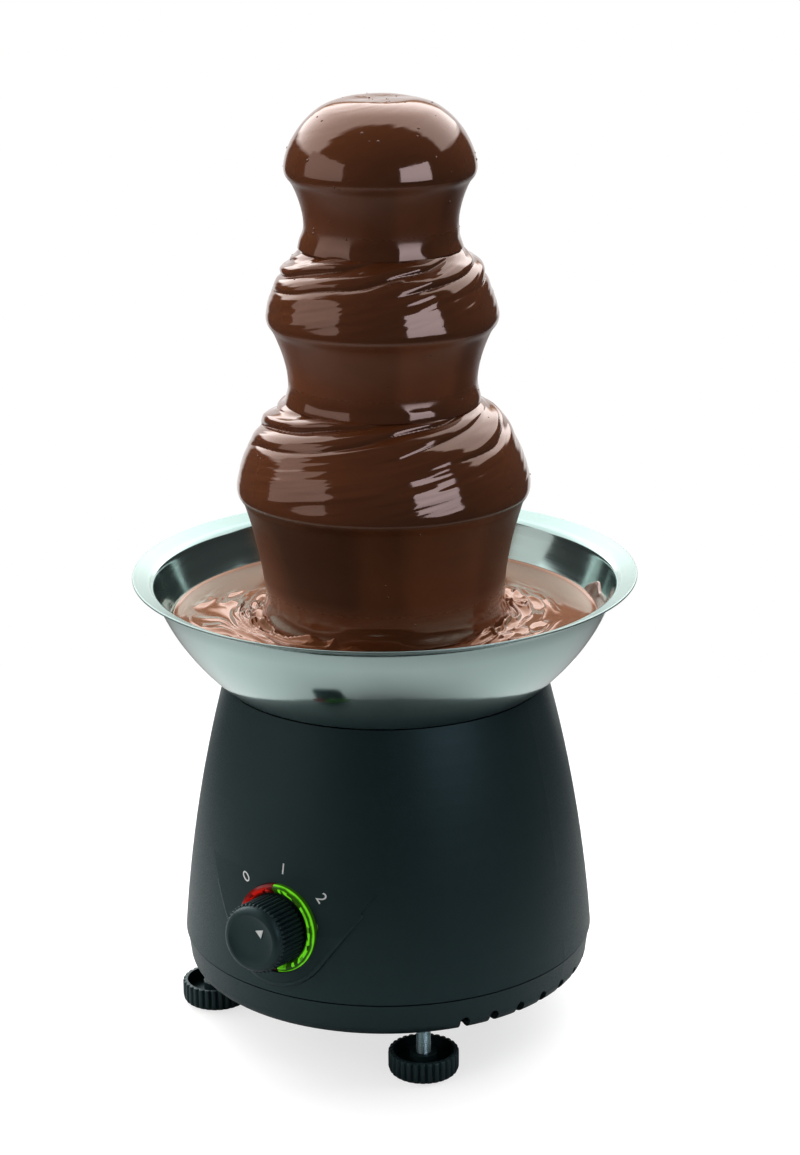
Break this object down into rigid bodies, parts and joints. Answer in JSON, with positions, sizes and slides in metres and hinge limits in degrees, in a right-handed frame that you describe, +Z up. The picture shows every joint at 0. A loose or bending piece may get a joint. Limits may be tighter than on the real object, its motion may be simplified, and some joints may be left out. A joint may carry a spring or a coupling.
{
  "type": "chocolate fountain",
  "caption": "Tabletop chocolate fountain with a tiered tower over a heated steel bowl, an auger drive, a dial switch with a lit ring and levelling feet.",
  "frame": {"origin": "on the tower axis at table level, with the feet standing on Z = 0", "axes": "+Z up along the tower axis; the control dial faces -Y; +X is to the right seen from the dial side"},
  "size_m": [0.21, 0.21, 0.3902],
  "materials": {
    "black_plastic": "satin moulded",
    "polished_steel": "polished stainless",
    "zinc_steel": "zinc plated",
    "brass": "turned",
    "black_rubber": "matt",
    "red_silicone": "matt",
    "cast_aluminium": "as cast",
    "heater_sheath": "oxidised",
    "motor_paint": "semi-gloss",
    "phenolic": "moulded",
    "cream_plastic": "moulded",
    "red_lens": "translucent",
    "green_lens": "translucent",
    "lamp_glass": "clear",
    "white_print": "gloss",
    "white_acetal": "satin",
    "chocolate": "wet gloss"
  },
  "bodies": {
    "base": {"base_pan": "black_plastic", "pan_screws": "zinc_steel", "foot_inserts": "brass", "housing": "black_plastic", "cord_gland": "black_plastic", "gland_nut": "black_plastic", "bowl": "polished_steel", "bowl_gasket": "black_rubber", "bowl_nuts": "zinc_steel", "shaft_post": "zinc_steel", "post_nut": "zinc_steel", "shaft_seal": "red_silicone", "heater_plate": "cast_aluminium", "heating_element": "heater_sheath", "thermostat": "phenolic", "motor_bracket": "zinc_steel", "bracket_spacers": "zinc_steel", "gear_case": "cast_aluminium", "motor_can": "motor_paint", "motor_screws": "zinc_steel", "rotary_switch": "phenolic", "switch_nut": "zinc_steel", "light_ring_red": "red_lens", "light_ring_green": "green_lens", "indicator_lamps": "lamp_glass", "terminal_block": "cream_plastic", "chocolate_pool": "chocolate"},
    "knob": {"knob": "black_plastic", "knob_pointer": "white_print", "switch_spindle": "zinc_steel"},
    "drive": {"drive_shaft": "zinc_steel", "auger": "white_acetal"},
    "tower": {"tower_tube": "polished_steel", "lower_tier": "polished_steel", "middle_tier": "polished_steel", "crown": "polished_steel", "lower_flow": "chocolate", "middle_flow": "chocolate", "crown_flow": "chocolate"},
    "foot_1_pad": {"foot_pad_1": "black_rubber"},
    "foot_1": {"foot_wheel_1": "black_plastic", "foot_stud_1": "zinc_steel"},
    "foot_2_pad": {"foot_pad_2": "black_rubber"},
    "foot_2": {"foot_wheel_2": "black_plastic", "foot_stud_2": "zinc_steel"},
    "foot_3_pad": {"foot_pad_3": "black_rubber"},
    "foot_3": {"foot_wheel_3": "black_plastic", "foot_stud_3": "zinc_steel"}
  },
  "joints": [
    {"name": "knob_turn", "type": "hinge", "parent": "base", "child": "knob", "pos_m": [0, -0.0865, 0.0644], "axis": [0, -0.9962, 0.0872], "range_deg": [0, 90]},
    {"name": "drive_spin", "type": "hinge", "parent": "base", "child": "drive", "pos_m": [0, 0, 0.15], "axis": [0, 0, 1], "continuous": true},
    {"name": "tower_lift", "type": "slide", "parent": "base", "child": "tower", "axis": [0, 0, 1], "range_m": [0, 0.25]},
    {"name": "foot_1_lift", "type": "slide", "parent": "base", "child": "foot_1_pad", "axis": [0, 0, 1], "range_m": [-0.008, 0.009]},
    {"name": "foot_1_turn", "type": "hinge", "parent": "foot_1_pad", "child": "foot_1", "pos_m": [0.05115, -0.05485, 0.005], "axis": [0, 0, 1], "range_deg": [-2882, 3243]},
    {"name": "foot_2_lift", "type": "slide", "parent": "base", "child": "foot_2_pad", "axis": [0, 0, 1], "range_m": [-0.008, 0.009]},
    {"name": "foot_2_turn", "type": "hinge", "parent": "foot_2_pad", "child": "foot_2", "pos_m": [-0.06068, -0.04408, 0.005], "axis": [0, 0, 1], "range_deg": [-2882, 3243]},
    {"name": "foot_3_lift", "type": "slide", "parent": "base", "child": "foot_3_pad", "axis": [0, 0, 1], "range_m": [-0.008, 0.009]},
    {"name": "foot_3_turn", "type": "hinge", "parent": "foot_3_pad", "child": "foot_3", "pos_m": [0.00784, 0.07459, 0.005], "axis": [0, 0, 1], "range_deg": [-2882, 3243]}
  ],
  "couplings": [
    {"joint": "foot_1_turn", "follows": "foot_1_lift", "rad_per_m": 6283.2},
    {"joint": "foot_2_turn", "follows": "foot_2_lift", "rad_per_m": 6283.2},
    {"joint": "foot_3_turn", "follows": "foot_3_lift", "rad_per_m": 6283.2}
  ]
}
